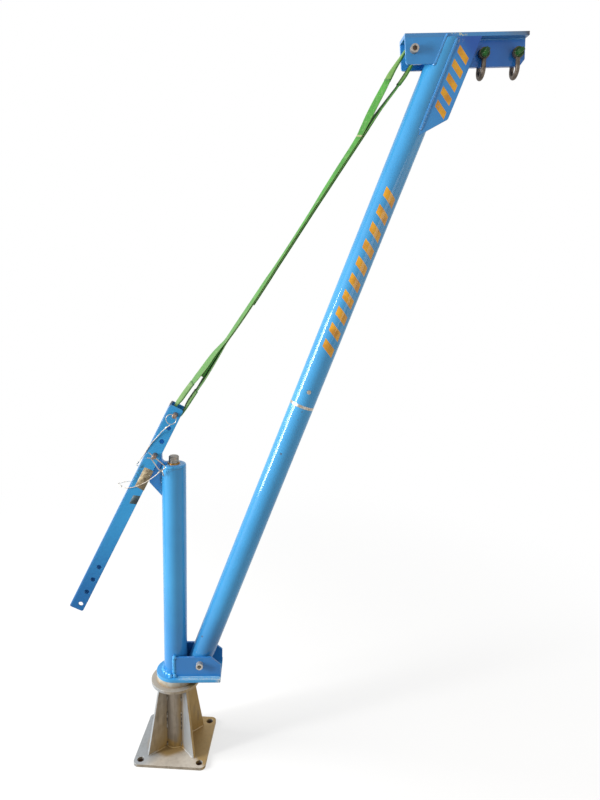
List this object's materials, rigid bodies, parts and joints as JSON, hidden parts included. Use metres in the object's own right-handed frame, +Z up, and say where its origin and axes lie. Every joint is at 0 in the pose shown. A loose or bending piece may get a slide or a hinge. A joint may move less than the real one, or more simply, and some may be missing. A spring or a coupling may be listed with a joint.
{
  "type": "davit crane",
  "caption": "Small slewing davit crane: ribbed pedestal, turning mast, leaning tube boom held back by a webbing sling and lever bar, with bow shackles at the boom head.",
  "frame": {"origin": "under the middle of the base plate, on the slewing axis", "axes": "+Z up along the slewing axis, +X the way the boom leans, -Y the side with the bolt heads and lanyards"},
  "size_m": [1.0495, 0.2042, 1.8121],
  "materials": {
    "blue_paint": "gloss paint",
    "bare_aluminium": "brushed, stained",
    "stainless_steel": "satin",
    "bronze_bush": "turned",
    "galvanised_steel": "dull galvanised",
    "green_paint": "satin paint",
    "cream_plastic": "matt",
    "green_webbing": "woven polyester",
    "crimp_aluminium": "satin"
  },
  "bodies": {
    "pedestal": {"base_plate": "bare_aluminium", "pedestal_core": "bare_aluminium", "pedestal_rib_1": "bare_aluminium", "pedestal_rib_2": "bare_aluminium", "pedestal_rib_3": "bare_aluminium", "pedestal_rib_4": "bare_aluminium", "pedestal_flange": "bare_aluminium", "pivot_post": "stainless_steel", "thrust_ring": "cream_plastic"},
    "mast": {"mast_foot_plate": "blue_paint", "mast_tube": "blue_paint", "mast_foot_bush": "bronze_bush", "mast_cheek_near": "blue_paint", "mast_cheek_far": "blue_paint", "mast_cap": "blue_paint", "mast_top_bush": "bronze_bush", "mast_lug": "blue_paint", "foot_bolt": "stainless_steel", "foot_washer": "stainless_steel", "foot_nut": "stainless_steel"},
    "boom": {"boom_lower_tube": "blue_paint", "boom_foot_sleeve": "blue_paint", "boom_joint_ring": "stainless_steel", "boom_joint_screw": "stainless_steel", "boom_joint_spigot": "stainless_steel", "boom_upper_tube": "blue_paint", "head_top_plate": "blue_paint", "head_side_near": "blue_paint", "head_side_far": "blue_paint", "head_gusset": "blue_paint", "head_web": "blue_paint", "head_sleeve": "stainless_steel", "head_bolt": "stainless_steel", "head_washer": "stainless_steel", "head_nut": "stainless_steel"},
    "tie_bar": {"adjuster_bar": "blue_paint", "lug_pin": "stainless_steel", "sling_pin": "stainless_steel", "lug_clip": "stainless_steel", "clip_ring": "stainless_steel", "sling_pin_ring": "stainless_steel", "clip_lanyard": "stainless_steel", "sling_pin_lanyard": "stainless_steel", "lanyard_ferrules": "crimp_aluminium"},
    "sling": {"tie_sling": "green_webbing"},
    "shackle_1": {"shackle_1_bow": "galvanised_steel", "shackle_1_pin": "green_paint"},
    "shackle_2": {"shackle_2_bow": "galvanised_steel", "shackle_2_pin": "green_paint"}
  },
  "joints": [
    {"name": "slew", "type": "hinge", "parent": "pedestal", "child": "mast", "pos_m": [0, 0, 0], "axis": [0, 0, 1], "continuous": true},
    {"name": "boom_luff", "type": "hinge", "parent": "mast", "child": "boom", "pos_m": [0.067, 0, 0.267], "axis": [0, -1, 0], "range_deg": [0, 17]},
    {"name": "bar_swing", "type": "hinge", "parent": "mast", "child": "tie_bar", "pos_m": [-0.042, 0, 0.8326], "axis": [0, -1, 0], "range_deg": [0, 19.04]},
    {"name": "sling_swing", "type": "hinge", "parent": "boom", "child": "sling", "pos_m": [0.52861, 0, 1.76253], "axis": [0, -1, 0], "range_deg": [0, 8.59]},
    {"name": "shackle_1_swing", "type": "hinge", "parent": "boom", "child": "shackle_1", "pos_m": [0.68856, 0, 1.76722], "axis": [0, -1, 0], "range_deg": [-40, 40]},
    {"name": "shackle_2_swing", "type": "hinge", "parent": "boom", "child": "shackle_2", "pos_m": [0.76479, 0, 1.77242], "axis": [0, -1, 0], "range_deg": [-40, 40]}
  ],
  "couplings": [
    {"joint": "bar_swing", "follows": "boom_luff", "ratio": 1.12},
    {"joint": "sling_swing", "follows": "boom_luff", "ratio": 0.505}
  ]
}
